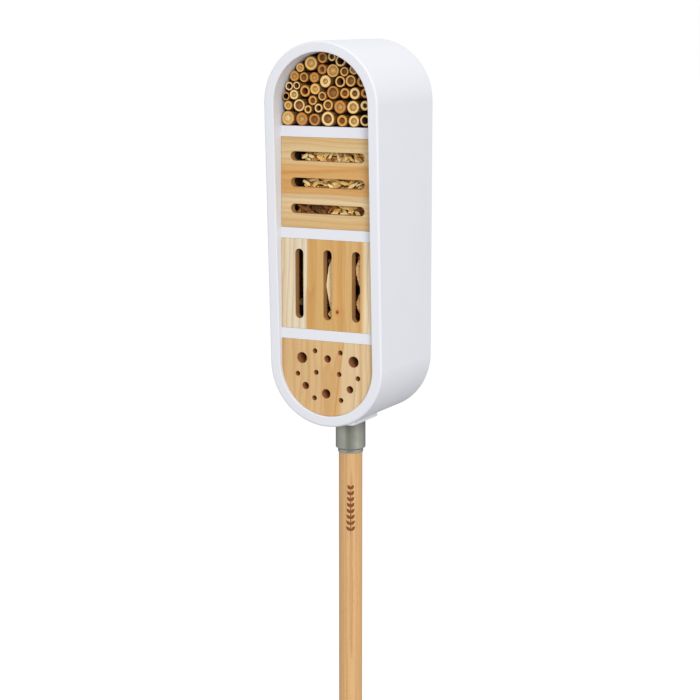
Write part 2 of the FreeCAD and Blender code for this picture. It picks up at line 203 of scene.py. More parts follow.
# ---------------------------------------------------------------- shared effects
def grain_group():
    """Growth rings, long fibres and short pores; X of the vector runs along the grain."""
    tree, source, target = new_group(
        "Plank grain",
        [
            ("Vector", "NodeSocketVector", None),
            ("Ring Width", "NodeSocketFloat", 4 * MM),
            ("Wander", "NodeSocketFloat", 4 * MM),
        ],
        [("Rings", "NodeSocketFloat"), ("Fibres", "NodeSocketFloat"), ("Pores", "NodeSocketFloat")],
    )
    vector = source["Vector"]
    slow = cloud(tree, stretched(tree, vector, (6, 34, 34)), detail=2.0)
    wander = calc(tree, "MULTIPLY", calc(tree, "SUBTRACT", slow, 0.5), source["Wander"])
    across = add(tree, "ShaderNodeVectorMath", {0: vector, 1: (0, 1, 1)}, operation="MULTIPLY")
    radius = add(tree, "ShaderNodeVectorMath", {0: across.outputs[0]}, operation="LENGTH")
    shifted = calc(tree, "ADD", radius.outputs["Value"], wander)
    phase = calc(tree, "FRACT", calc(tree, "DIVIDE", shifted, source["Ring Width"]))
    late = calc(tree, "POWER", phase, 2.6)
    soft_end = remap(tree, phase, 0.9, 1.0, 1.0, 0.0, smooth=True)
    tree.links.new(calc(tree, "MULTIPLY", late, soft_end), target["Rings"])
    tree.links.new(cloud(tree, stretched(tree, vector, (22, 900, 900)), detail=4.0), target["Fibres"])
    dashes = cloud(tree, stretched(tree, vector, (170, 2600, 2600)), detail=1.0)
    tree.links.new(remap(tree, dashes, 0.62, 0.72), target["Pores"])
    return tree


def mottle_group():
    """Soft uneven tone, from handling and weather, about one."""
    tree, source, target = new_group(
        "Uneven tone",
        [
            ("Vector", "NodeSocketVector", None),
            ("Size", "NodeSocketFloat", 30 * MM),
            ("Depth", "NodeSocketFloat", 0.1),
        ],
        [("Tone", "NodeSocketFloat"), ("Mask", "NodeSocketFloat")],
    )
    scale = calc(tree, "DIVIDE", 1.0, source["Size"])
    patches = cloud(tree, source["Vector"], scale, detail=4.0)
    tree.links.new(patches, target["Mask"])
    centred = calc(tree, "SUBTRACT", patches, 0.5)
    tree.links.new(calc(tree, "MULTIPLY_ADD", centred, source["Depth"], 1.0), target["Tone"])
    return tree


GRAIN = grain_group()
UNEVEN = mottle_group()


def toned(tree, colour, tone):
    """Multiply a colour by a value that stays near one."""
    grey = add(tree, "ShaderNodeCombineColor", {0: tone, 1: tone, 2: tone}).outputs[0]
    return blend(tree, 1.0, colour, grey, "MULTIPLY")


# ---------------------------------------------------------------- materials
def white_lacquer():
    """Sprayed satin lacquer: near white, with a trace of orange peel and dust in the finish."""
    material, tree, shader = new_material("white_lacquer")
    place = own_place(tree)
    soft = use_group(tree, UNEVEN, {"Vector": place, "Size": 50 * MM, "Depth": 0.035})
    colour = toned(tree, paint(216, 217, 222), soft.outputs["Tone"])
    # Behind the boards the band's inner wall is painted a darker, streaked raw-wood brown: painted shade
    # for the closed chambers.
    chamber_shade_streaks = cloud(tree, stretched(tree, place, (30, 30, 400)))
    chamber_shade_colour = toned(tree, paint(152, 116, 80), remap(tree, chamber_shade_streaks, 0.3, 0.7, 0.7, 1.1))
    colour = blend(tree, painted_chamber_shade(tree, place), colour, chamber_shade_colour)
    peel = cloud(tree, place, 420.0, detail=2.0)
    specks = remap(tree, cloud(tree, place, 1500.0, detail=1.0), 0.7, 0.78)
    height = calc(tree, "MULTIPLY_ADD", specks, 0.5, peel)
    connect(
        tree, shader, Base_Color=colour,
        Roughness=remap(tree, soft.outputs["Mask"], 0.3, 0.7, 0.48, 0.58), Specular_IOR_Level=0.4,
        Normal=relief(tree, height, 0.00006, 0.5),
    )
    return material


def painted_chamber_shade(tree, place):
    """Mask of the band's inner wall behind the boards, where a darker raw-wood brown is painted as shade
    for the closed chambers.
    """
    x, y, z = add(tree, "ShaderNodeSeparateXYZ", {0: place}).outputs
    nearest = calc(tree, "MINIMUM", calc(tree, "MAXIMUM", z, ARC_LOW), ARC_HIGH)
    across = add(tree, "ShaderNodeCombineXYZ", {0: x, 1: 0.0, 2: calc(tree, "SUBTRACT", z, nearest)})
    reach = add(tree, "ShaderNodeVectorMath", {0: across.outputs[0]}, operation="LENGTH").outputs["Value"]
    inner = calc(tree, "LESS_THAN", reach, BAND_RADIUS - BAND_WALL + 0.8 * MM)
    behind = calc(tree, "GREATER_THAN", y, BOARD_BACK_Y)
    before = calc(tree, "LESS_THAN", y, BACK_PANEL_Y)
    return calc(tree, "MULTIPLY", calc(tree, "MULTIPLY", inner, behind), before)


def white_moulding():
    """White plastic of the pad between the band and the sleeve."""
    material, tree, shader = new_material("white_moulding")
    place = own_place(tree)
    soft = use_group(tree, UNEVEN, {"Vector": place, "Size": 20 * MM, "Depth": 0.05})
    texture = cloud(tree, place, 1800.0, detail=2.0)
    connect(
        tree, shader, Base_Color=toned(tree, paint(218, 219, 222), soft.outputs["Tone"]),
        Roughness=0.5, Normal=relief(tree, texture, 0.00004, 0.4),
    )
    return material


def streaked(tree, colour, along, across, sway, streak):
    """A darker streak with the grain; streak is its start, its slope and its half width."""
    start, slope, half = streak
    line = calc(tree, "MULTIPLY_ADD", along, slope, start)
    bent = calc(tree, "MULTIPLY_ADD", calc(tree, "SUBTRACT", sway, 0.5), 5 * MM, line)
    away = calc(tree, "ABSOLUTE", calc(tree, "SUBTRACT", across, bent))
    return blend(tree, remap(tree, away, 0.0, half, 0.8, 0.0, smooth=True), colour, paint(203, 143, 70))


def knotted(tree, colour, place, knot):
    """A small dark knot in a reddish halo."""
    offset = add(tree, "ShaderNodeVectorMath", {0: place, 1: knot}, operation="SUBTRACT")
    squashed = stretched(tree, offset.outputs[0], (1.0, 0.1, 0.8))
    reach = add(tree, "ShaderNodeVectorMath", {0: squashed}, operation="LENGTH").outputs["Value"]
    ragged = calc(tree, "MULTIPLY_ADD", cloud(tree, place, 900.0), 1.2 * MM, reach)
    halo = remap(tree, ragged, 1.4 * MM, 6.2 * MM, 0.7, 0.0, smooth=True)
    colour = blend(tree, halo, colour, paint(198, 118, 50))
    core = remap(tree, ragged, 1.5 * MM, 2.8 * MM, 1.0, 0.0, smooth=True)
    return blend(tree, core, colour, paint(108, 40, 12))


def pine(name, along, centre, bands, band_axis, band_range, ring_width, bore, knot=None, streak=None):
    """Planed pine. along is the grain's axis; bands are the heartwood and sapwood tones
    laid across the board from one side to the other; bore is the brown inside its cuts, painted shade
    over the cut end grain's slightly darker tone; knot is the place of a small knot; streak is what
    streaked reads."""
    material, tree, shader = new_material(name)
    place = own_place(tree)
    turns = {"x": (0, 0, 0), "z": (0, math.radians(90), 0)}
    centred = add(tree, "ShaderNodeVectorMath", {0: place, 1: centre}, operation="SUBTRACT")
    turned = add(tree, "ShaderNodeMapping", {"Vector": centred.outputs[0], "Rotation": turns[along]})
    vector = turned.outputs["Vector"]
    grain = use_group(tree, GRAIN, {"Vector": vector, "Ring Width": ring_width, "Wander": 20 * MM})
    axes = add(tree, "ShaderNodeSeparateXYZ", {0: place}).outputs
    lengthwise = {"x": (7, 40, 40), "z": (40, 40, 7)}[along]
    sway = cloud(tree, stretched(tree, place, lengthwise), detail=2.0)
    low, high = band_range
    position = remap(tree, axes[band_axis], low, high)
    swayed = calc(tree, "MULTIPLY_ADD", calc(tree, "SUBTRACT", sway, 0.5), 0.05, position)
    colour = ramp(tree, swayed, bands)
    if streak is not None:
        colour = streaked(tree, colour, axes[2 - band_axis], axes[band_axis], sway, streak)
    late_wood = blend(tree, 0.5, toned(tree, colour, 0.84), paint(206, 140, 64))
    colour = blend(tree, calc(tree, "MULTIPLY", grain.outputs["Rings"], 0.85), colour, late_wood)
    fibre_tone = remap(tree, grain.outputs["Fibres"], 0.25, 0.75, 0.82, 0.96)
    colour = toned(tree, colour, fibre_tone)
    colour = blend(tree, calc(tree, "MULTIPLY", grain.outputs["Pores"], 0.2), colour, paint(150, 104, 58))
    if knot is not None:
        colour = knotted(tree, colour, place, knot)
    # Inside the cuts the wood turns to the bore's brown: painted shade of the cuts.
    if bore is not None:
        inside = remap(tree, axes[1], PANEL_Y + 0.4 * MM, PANEL_Y + 1.6 * MM)
        colour = blend(tree, inside, colour, toned(tree, bore, fibre_tone))
    height = calc(tree, "MULTIPLY_ADD", grain.outputs["Rings"], 0.4, grain.outputs["Fibres"])
    connect(
        tree, shader, Base_Color=colour,
        Roughness=remap(tree, grain.outputs["Fibres"], 0.3, 0.7, 0.62, 0.74),
        Normal=relief(tree, height, 0.00010, 0.55),
    )
    return material


def wide_board_pine():
    low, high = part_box("board_wide_slots")
    bands = [
        (0.0, 211, 173, 116), (0.10, 214, 180, 126), (0.17, 218, 190, 141), (0.24, 222, 192, 142),
        (0.31, 224, 198, 152), (0.345, 208, 182, 142), (0.375, 214, 180, 128),
        (0.39, 208, 158, 92), (0.47, 212, 161, 94), (0.60, 213, 164, 96), (0.69, 214, 170, 106),
        (0.74, 219, 187, 134), (0.85, 217, 190, 141), (0.93, 215, 185, 133), (1.0, 210, 172, 113),
    ]
    middle = (low.z + high.z) / 2
    centre = ((low.x + high.x) / 2 - 50 * MM, PANEL_Y - 12 * MM, middle)
    streak = (middle + 13.5 * MM, 0.076, 3.2 * MM)
    # The brown inside the slots: painted shade.
    bore = paint(184, 138, 80)
    return pine("pine_wide_board", "x", centre, bands, 2, (low.z, high.z), 6 * MM, bore, streak=streak)


def tall_board_pine():
    low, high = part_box("board_tall_slots")
    bands = [
        (0.0, 217, 194, 153), (0.06, 226, 212, 183), (0.15, 225, 209, 179), (0.23, 228, 215, 188),
        (0.268, 228, 213, 184), (0.278, 210, 164, 100), (0.33, 203, 153, 84),
        (0.40, 213, 171, 106), (0.46, 209, 164, 97), (0.56, 213, 170, 104), (0.62, 208, 161, 92),
        (0.645, 202, 149, 79), (0.67, 212, 170, 105), (0.78, 214, 174, 114), (0.86, 208, 160, 96),
        (0.868, 212, 166, 104), (0.885, 224, 192, 140), (0.905, 236, 218, 180),
        (1.0, 234, 214, 176),
    ]
    middle = (low.z + high.z) / 2
    centre = ((low.x + high.x) / 2 - 10 * MM, PANEL_Y + 45 * MM, middle)
    knot = (12.4 * MM, PANEL_Y, ARC_LOW + 61.5 * MM)
    # The brown inside the slots: painted shade.
    bore = paint(172, 126, 74)
    return pine("pine_tall_board", "z", centre, bands, 0, (low.x, high.x), 5.2 * MM, bore, knot)


def block_pine():
    low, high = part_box("nest_block")
    bands = [
        (0.0, 204, 160, 102), (0.05, 212, 174, 120), (0.25, 214, 178, 126), (0.30, 210, 170, 114),
        (0.32, 216, 180, 128), (0.425, 216, 178, 126), (0.437, 204, 158, 100),
        (0.45, 214, 176, 120), (0.62, 213, 172, 114), (0.66, 222, 193, 146), (0.80, 225, 199, 159),
        (0.87, 217, 183, 132), (0.91, 225, 200, 160), (1.0, 214, 177, 123),
    ]
    centre = (12 * MM, PANEL_Y + 60 * MM, ARC_LOW)
    streak = (16.7 * MM - 0.15 * ARC_LOW, 0.15, 2.0 * MM)
    # The brown inside the drilled holes: painted shade.
    bore = paint(176, 113, 70)
    return pine("pine_nest_block", "z", centre, bands, 0, (low.x, high.x), 5.6 * MM, bore, streak=streak)


def panel_pine():
    low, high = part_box("back_panel")
    bands = [
        (0.0, 218, 182, 128), (0.2, 224, 192, 142), (0.34, 210, 166, 106), (0.5, 220, 184, 128),
        (0.66, 214, 172, 112), (0.8, 226, 196, 146), (1.0, 212, 168, 108),
    ]
    centre = (4 * MM, high.y - 30 * MM, ARC_LOW)
    return pine("pine_back_panel", "z", centre, bands, 0, (low.x, high.x), 5 * MM, None)


def stake_wood():
    """Close-grained turned wood, warm tan, with fine lengthwise lines and a hand-oiled sheen."""
    material, tree, shader = new_material("stake_wood")
    place = own_place(tree)
    turned = add(
        tree, "ShaderNodeMapping",
        {"Vector": place, "Rotation": (0, math.radians(90), 0), "Location": (0, 21 * MM, 12 * MM)},
    )
    inputs = {"Vector": turned.outputs["Vector"], "Ring Width": 3.6 * MM, "Wander": 4 * MM}
    grain = use_group(tree, GRAIN, inputs)
    lengthwise = stretched(tree, place, (1, 1, 0.15))
    soft = use_group(tree, UNEVEN, {"Vector": lengthwise, "Size": 10 * MM, "Depth": 0.12})
    light = paint(208, 165, 111)
    dark = paint(182, 131, 76)
    colour = blend(tree, calc(tree, "MULTIPLY", grain.outputs["Rings"], 0.8), light, dark)
    fibre_tone = remap(tree, grain.outputs["Fibres"], 0.25, 0.75, 0.9, 1.06)
    colour = toned(tree, toned(tree, colour, fibre_tone), soft.outputs["Tone"])
    colour = blend(tree, calc(tree, "MULTIPLY", grain.outputs["Pores"], 0.4), colour, paint(140, 92, 50))
    connect(
        tree, shader, Base_Color=colour,
        Roughness=remap(tree, grain.outputs["Fibres"], 0.3, 0.7, 0.42, 0.56),
        Normal=relief(tree, grain.outputs["Fibres"], 0.00008, 0.5),
    )
    return material


def scorched_mark():
    """Branded wood: brown, uneven and matt."""
    material, tree, shader = new_material("scorched_mark")
    place = own_place(tree)
    soft = use_group(tree, UNEVEN, {"Vector": place, "Size": 3 * MM, "Depth": 0.5})
    colour = blend(tree, soft.outputs["Mask"], paint(102, 52, 14), paint(136, 76, 24))
    char = cloud(tree, place, 3000.0)
    connect(tree, shader, Base_Color=colour, Roughness=0.8, Normal=relief(tree, char, 0.0001, 0.5))
    return material


def cane():
    """Sawn cane: skin on the outside, and on the sawn end a ring of wall round pith or a hollow.
    The piece carries how far each point is from its tube's axis, and each tube's tones, the core's
    darkened with its depth as painted shade."""
    material, tree, shader = new_material("sawn_cane")
    place = own_place(tree)
    share = attribute(tree, "wall_share")
    wall_tone = attribute(tree, "wall_tone")
    core_tone_and_shade = attribute(tree, "core_tone_and_shade")
    in_core = attribute(tree, "in_core")
    on_skin = attribute(tree, "on_skin")
    wall = ramp(tree, wall_tone, [
        (0.0, 232, 202, 138), (0.3, 220, 176, 96), (0.6, 208, 146, 62), (1.0, 162, 100, 40),
    ])
    core = ramp(tree, core_tone_and_shade, [
        (0.0, 30, 20, 12), (0.2, 148, 84, 40), (0.45, 176, 120, 60), (0.7, 196, 150, 82),
        (1.0, 228, 196, 130),
    ])
    outer_edge = remap(tree, share, 0.80, 0.97, smooth=True)
    wall = blend(tree, calc(tree, "MULTIPLY", outer_edge, 0.9), wall, paint(166, 98, 32))
    edge_of_core = calc(tree, "MULTIPLY", in_core, calc(tree, "SUBTRACT", 1.0, in_core))
    burr = remap(tree, edge_of_core, 0.05, 0.24, 0.0, 0.75)
    bundles = {"Vector": stretched(tree, place, (1, 0.03, 1)), "Scale": 2100.0}
    fibres = add(tree, "ShaderNodeTexVoronoi", bundles)
    dots = remap(tree, fibres.outputs["Distance"], 0.1, 0.45, 0.82, 1.04)
    wall = toned(tree, wall, dots)
    pith = use_group(tree, UNEVEN, {"Vector": place, "Size": 1.1 * MM, "Depth": 1.5})
    core = toned(tree, core, pith.outputs["Tone"])
    # The core is brightened in its middle and darkened towards its edge and on the bore's inner wall:
    # painted light and shade.
    middle = remap(tree, attribute(tree, "core_share"), 0.0, 0.75, 1.22, 0.72, smooth=True)
    core = toned(tree, core, middle)
    # The skin's tones are darker than the cane's real tan: painted shade for the gaps between the tubes.
    skin_streaks = cloud(tree, stretched(tree, place, (500, 14, 500)), detail=3.0)
    skin = ramp(tree, skin_streaks, [
        (0.3, 92, 62, 34), (0.5, 122, 88, 46), (0.7, 158, 120, 64),
    ])
    colour = blend(tree, on_skin, wall, skin)
    colour = blend(tree, in_core, colour, core)
    colour = blend(tree, burr, colour, paint(112, 62, 28))
    rough_end = cloud(tree, place, 1600.0, detail=3.0)
    connect(
        tree, shader, Base_Color=colour, Roughness=remap(tree, on_skin, 0.0, 1.0, 0.75, 0.42),
        Normal=relief(tree, calc(tree, "ADD", rough_end, dots), 0.00025, 0.5),
    )
    return material


def chip_wood(name, stops, grain_scale, flecks=0.0):
    """Torn and broken wood: each chip has its own tone and coarse fibres. Flecks of bark,
    as deep as flecks says, are left on all but the palest."""
    material, tree, shader = new_material(name)
    place = own_place(tree)
    tone = attribute(tree, "piece_tone")
    torn = cloud(tree, stretched(tree, place, grain_scale), detail=4.0, roughness=0.65)
    patches = cloud(tree, place, 160.0, detail=3.0)
    mixed = calc(tree, "MULTIPLY_ADD", calc(tree, "SUBTRACT", patches, 0.5), 0.55, tone)
    mixed = calc(tree, "MULTIPLY_ADD", calc(tree, "SUBTRACT", torn, 0.5), 0.35, mixed, clamp=True)
    colour = ramp(tree, mixed, stops)
    if flecks > 0:
        spots = cloud(tree, stretched(tree, place, (420, 420, 260)), detail=3.0)
        on_dark = remap(tree, tone, 0.84, 0.92, flecks, 0.0)
        bark_spots = calc(tree, "MULTIPLY", on_dark, remap(tree, spots, 0.5, 0.6))
        colour = blend(tree, bark_spots, colour, paint(222, 134, 54))
    connect(
        tree, shader, Base_Color=colour, Roughness=0.82,
        Normal=relief(tree, calc(tree, "ADD", torn, patches), 0.0006, 0.7),
    )
    return material


def bright_zinc():
    """Plated screws, washers and cap: an even grain with a few duller patches."""
    material, tree, shader = new_material("bright_zinc")
    place = own_place(tree)
    plating = cloud(tree, stretched(tree, place, (700, 700, 700)), detail=3.0)
    soft = use_group(tree, UNEVEN, {"Vector": place, "Size": 12 * MM, "Depth": 0.2})
    light = paint(205, 204, 196)
    dull = paint(170, 170, 164)
    colour = blend(tree, remap(tree, plating, 0.3, 0.7), dull, light)
    connect(
        tree, shader, Base_Color=toned(tree, colour, soft.outputs["Tone"]), Metallic=1.0,
        Roughness=remap(tree, soft.outputs["Mask"], 0.3, 0.7, 0.24, 0.38),
        Normal=relief(tree, plating, 0.00002, 0.6),
    )
    return material


def sleeve_metal():
    """Satin plated tube with painted reflections that darken where it turns away, painted shade close
    under the band, and a painted highlight round the neck's bottom edge.
    """
    material, tree, shader = new_material("sleeve_metal")
    place = own_place(tree)
    facing = add(tree, "ShaderNodeLayerWeight", {"Blend": 0.5}).outputs["Facing"]
    # Painted reflections: lighter bands and darker edges, set by how far the surface turns away from the
    # view.
    sheen = ramp(tree, facing, [
        (0.0, 128, 128, 117), (0.03, 138, 138, 127), (0.12, 194, 194, 180), (0.3, 192, 192, 179),
        (0.47, 184, 184, 172), (0.7, 148, 147, 138), (0.9, 96, 95, 88),
    ])
    height = add(tree, "ShaderNodeSeparateXYZ", {0: place}).outputs[2]
    # Painted shade: the tube is darker close under the band.
    painted_shade_under_band = remap(tree, height, NECK_BOTTOM + 20 * MM, NECK_BOTTOM + 38 * MM, 1.0, 0.62, smooth=True)
    lines = cloud(tree, stretched(tree, place, (1500, 1500, 10)), detail=3.0)
    soft = use_group(tree, UNEVEN, {"Vector": place, "Size": 12 * MM, "Depth": 0.16})
    colour = toned(tree, toned(tree, sheen, painted_shade_under_band), soft.outputs["Tone"])
    # A painted highlight: a pale blue-grey ring at the neck's bottom edge.
    painted_neck_highlight = remap(tree, height, NECK_BOTTOM + 0.8 * MM, NECK_BOTTOM + 1.4 * MM, 0.8, 0.0)
    colour = blend(tree, painted_neck_highlight, colour, paint(186, 192, 196))
    connect(
        tree, shader, Base_Color=colour, Metallic=1.0,
        Roughness=remap(tree, soft.outputs["Mask"], 0.3, 0.7, 0.3, 0.42),
        Normal=relief(tree, lines, 0.00001, 0.4),
    )
    return material


def galvanised():
    """Hot-dip zinc: flat crystal spangles of slightly different greys."""
    material, tree, shader = new_material("galvanised_zinc")
    place = own_place(tree)
    spangle = add(tree, "ShaderNodeTexVoronoi", {"Vector": place, "Scale": 300.0})
    grey = add(tree, "ShaderNodeRGBToBW", {0: spangle.outputs["Color"]}).outputs[0]
    colour = ramp(tree, grey, [
        (0.2, 150, 153, 155), (0.5, 160, 163, 164), (0.8, 171, 174, 174),
    ])
    soft = use_group(tree, UNEVEN, {"Vector": place, "Size": 20 * MM, "Depth": 0.25})
    connect(
        tree, shader, Base_Color=toned(tree, colour, soft.outputs["Tone"]), Metallic=0.9,
        Roughness=remap(tree, grey, 0.2, 0.8, 0.4, 0.5),
        Normal=relief(tree, cloud(tree, place, 300.0), 0.0001, 0.4),
    )
    return material


def plain_moulding(name, colour, rough):
    """Moulded plastic of one colour, with a fine matt grain."""
    material, tree, shader = new_material(name)
    place = own_place(tree)
    soft = use_group(tree, UNEVEN, {"Vector": place, "Size": 10 * MM, "Depth": 0.2})
    connect(
        tree, shader, Base_Color=toned(tree, colour, soft.outputs["Tone"]), Roughness=rough,
        Normal=relief(tree, cloud(tree, place, 1500.0), 0.00004, 0.5),
    )
    return material


WHITE = white_lacquer()
WHITE_PAD = white_moulding()
PINE_WIDE = wide_board_pine()
PINE_TALL = tall_board_pine()
PINE_BLOCK = block_pine()
PINE_BACK = panel_pine()
STAKE = stake_wood()
SCORCH = scorched_mark()
CANE = cane()
BARK = chip_wood("bark_and_chips", [
    (0.0, 84, 48, 24), (0.22, 146, 90, 38), (0.45, 206, 144, 62), (0.7, 243, 202, 118),
    (1.0, 253, 232, 172),
], (900, 900, 90))
SHAVING = chip_wood("torn_shaving", [
    (0.0, 92, 58, 32), (0.3, 210, 146, 76), (0.6, 243, 208, 144), (1.0, 249, 226, 178),
], (1100, 1100, 40), 0.75)
SLEEVE_METAL = sleeve_metal()
ZINC = bright_zinc()
GALVANISED = galvanised()
BLACK = plain_moulding("black_liner", paint(34, 34, 35), 0.5)
NYLON = plain_moulding("natural_nylon", paint(226, 222, 208), 0.42)


# ---------------------------------------------------------------- mesh helpers
def finish_piece(bm, name, body, materials, stands_for=(), smooth_angle=35):
    """Turn a finished bmesh into a piece that rides on a body."""
    mesh = bpy.data.meshes.new(name)
    bm.to_mesh(mesh)
    bm.free()
    for polygon in mesh.polygons:
        polygon.use_smooth = True
    mesh.set_sharp_from_angle(angle=math.radians(smooth_angle))
    for material in materials:
        mesh.materials.append(material)
    piece = bpy.data.objects.new(name, mesh)
    bpy.context.scene.collection.objects.link(piece)
    shading = piece.modifiers.new("Even shading", "WEIGHTED_NORMAL")
    shading.keep_sharp = True
    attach(piece, body)
    if stands_for:
        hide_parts(*stands_for)


def cad_copy(node):
    """The node's shape as a clean mesh with its flat faces joined again."""
    bm = bmesh.new()
    bm.from_mesh(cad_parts[node].data)
    bmesh.ops.remove_doubles(bm, verts=bm.verts, dist=0.002 * MM)
    bmesh.ops.dissolve_limit(
        bm, angle_limit=math.radians(0.4), use_dissolve_boundaries=False, verts=bm.verts, edges=bm.edges,
    )
    return bm


def sharp_edges(bm, degrees, keep):
    """Edges between faces that meet at more than an angle, if keep allows them."""
    found = []
    for edge in bm.edges:
        if len(edge.link_faces) == 2 and edge.calc_face_angle(0) > math.radians(degrees):
            if keep is None or keep(edge):
                found.append(edge)
    return found


def soften(bm, width, segments, degrees, keep=None):
    """Round the sharp edges over."""
    edges = sharp_edges(bm, degrees, keep)
    bmesh.ops.bevel(
        bm, geom=edges, offset=width, offset_type="OFFSET", segments=segments,
        profile=0.5, affect="EDGES", material=-1, clamp_overlap=True,
    )


def machined(node, name, body, material, width, segments=2):
    """A CAD node with its edges broken, standing in its own place."""
    bm = cad_copy(node)
    soften(bm, width, segments, 40)
    finish_piece(bm, name, body, [material], (node,))


def spun(bm, profile, steps, axis_point, axis):
    """Spin a profile of (radius, height) points right round an axis and close its seam."""
    turn = Vector((0, 0, 1)).rotation_difference(Vector(axis)).to_matrix()
    origin = Vector(axis_point)
    verts = [bm.verts.new(origin + turn @ Vector((radius, 0, height))) for radius, height in profile]
    edges = [bm.edges.new(pair) for pair in zip(verts, verts[1:])]
    bmesh.ops.spin(
        bm, geom=verts + edges, cent=origin, axis=Vector(axis), steps=steps,
        angle=math.tau, use_merge=True, use_duplicate=False,
    )


def close_poles(bm):
    """Merge the spun tubes' poles and turn their faces outwards."""
    bmesh.ops.remove_doubles(bm, verts=bm.verts, dist=0.001 * MM)
    bmesh.ops.recalc_face_normals(bm, faces=bm.faces)


# ---------------------------------------------------------------- the band
BAND_SEGMENTS = 144
RIM_ROUND = 2.4 * MM
EDGE_ROUND = 1.1 * MM


def stadium_loop(bm, radius):
    """A closed loop of edges on the leaning front edge, half circles joined by straight sides."""
    made = bmesh.ops.create_circle(bm, cap_ends=False, segments=BAND_SEGMENTS, radius=radius)
    verts = made["verts"]
    half_step = math.pi / BAND_SEGMENTS
    for vert in verts:
        angle = math.atan2(vert.co.y, vert.co.x) + half_step
        x = radius * math.cos(angle)
        z = radius * math.sin(angle)
        z += ARC_HIGH if z > 0 else ARC_LOW
        vert.co = Vector((x, rim_y(z), z))
    return list({edge for vert in verts for edge in vert.link_edges})


def band():
    """The white band: a leaning stadium ring drawn back to a flat rear edge."""
    bm = bmesh.new()
    outer = stadium_loop(bm, BAND_RADIUS)
    inner = stadium_loop(bm, BAND_RADIUS - BAND_WALL)
    bmesh.ops.bridge_loops(bm, edges=outer + inner)
    pulled = bmesh.ops.extrude_face_region(bm, geom=bm.faces[:])
    back = [item for item in pulled["geom"] if isinstance(item, bmesh.types.BMVert)]
    for vert in back:
        vert.co.y = BACK_Y
    bmesh.ops.recalc_face_normals(bm, faces=bm.faces)

    def on_front_outside(edge):
        return all(v.co.y < 0 and near_outline(v.co, BAND_RADIUS) for v in edge.verts)

    soften(bm, RIM_ROUND, 4, 60, on_front_outside)
    soften(bm, EDGE_ROUND, 3, 60)
    finish_piece(bm, "band", "hotel", [WHITE], ("housing",), 50)


def near_outline(point, radius):
    """Is the point on the stadium outline of that radius, seen from the front?"""
    centre = min(max(point.z, ARC_LOW), ARC_HIGH)
    return abs(math.hypot(point.x, point.z - centre) - radius) < 0.2 * MM


# ---------------------------------------------------------------- cane tubes
# A tube's look is two letters: its wall (pale, golden, orange, brown) and its core (open, dark,
# middling, tan, cream). Each row's tubes are listed from left to right. A core's depth is how far
# it lies behind the sawn end, in millimetres.
WALL_TONES = {"p": 0.05, "g": 0.32, "o": 0.6, "b": 0.82}
# The cores' colours darken the deeper they lie in the bore, to near black for an open tube: painted shade
# over the pith's own tone.
CORE_TONES_AND_SHADE = {"k": 0.0, "d": 0.2, "m": 0.45, "t": 0.7, "c": 0.95}
CORE_DEPTHS = {"k": 60, "d": 26, "m": 5.5, "t": 1.6, "c": 0.9}
CANE_LOOKS = (
    "gc bt bm pm om pt pd",
    "gt pm gd pd gm bt pt pm",
    "ok pt od om gm bm om pm om",
    "pd pd gt pt gd gm om",
    "ot om bt bm gt gm pt",
    "gt gt om pm pd",
)
CANE_STEPS = 40


def loose_parts(bm):
    """The separate solids of a mesh, as lists of vertices."""
    left = set(bm.verts)
    parts = []
    while left:
        stack = [left.pop()]
        part = []
        while stack:
            vert = stack.pop()
            part.append(vert)
            for edge in vert.link_edges:
                other = edge.other_vert(vert)
                if other in left:
                    left.remove(other)
                    stack.append(other)
        parts.append(part)
    return parts


def tubes_of(node):
    """Axis, radius, bore, front and back of every tube in a CAD row, from left to right."""
    bm = cad_copy(node)
    tubes = []
    for part in loose_parts(bm):
        xs = [vert.co.x for vert in part]
        zs = [vert.co.z for vert in part]
        ys = [vert.co.y for vert in part]
        x = (min(xs) + max(xs)) / 2
        z = (min(zs) + max(zs)) / 2
        reach = [math.hypot(vert.co.x - x, vert.co.z - z) for vert in part]
        tube = {"x": x, "z": z, "r": max(reach), "bore": min(reach), "front": min(ys), "back": max(ys)}
        tubes.append(tube)
    bm.free()
    return tubes


def cane_profile(tube, core):
    """Half section of a tube from the middle of its core, over the sawn end, to its back."""
    r = tube["r"] - 0.12 * MM
    bore = tube["bore"]
    front = tube["front"]
    deep = front + CORE_DEPTHS[core] * MM
    pith = [
        (0.0, deep + 0.5 * MM), (bore * 0.35, deep + 0.25 * MM), (bore * 0.7, deep),
        (bore * 0.97, deep - 0.1 * MM),
    ]
    sawn_end = [
        (bore, front + 0.45 * MM), (bore + 0.25 * MM, front + 0.1 * MM), (bore * 0.6 + r * 0.4, front),
        (bore * 0.25 + r * 0.75, front), (r - 0.35 * MM, front + 0.05 * MM),
        (r - 0.08 * MM, front + 0.3 * MM),
    ]
    skin = [(r, front + 0.8 * MM), (r, front + 12 * MM), (r, tube["back"] - 0.5 * MM), (0.0, tube["back"])]
    return pith + sawn_end + skin


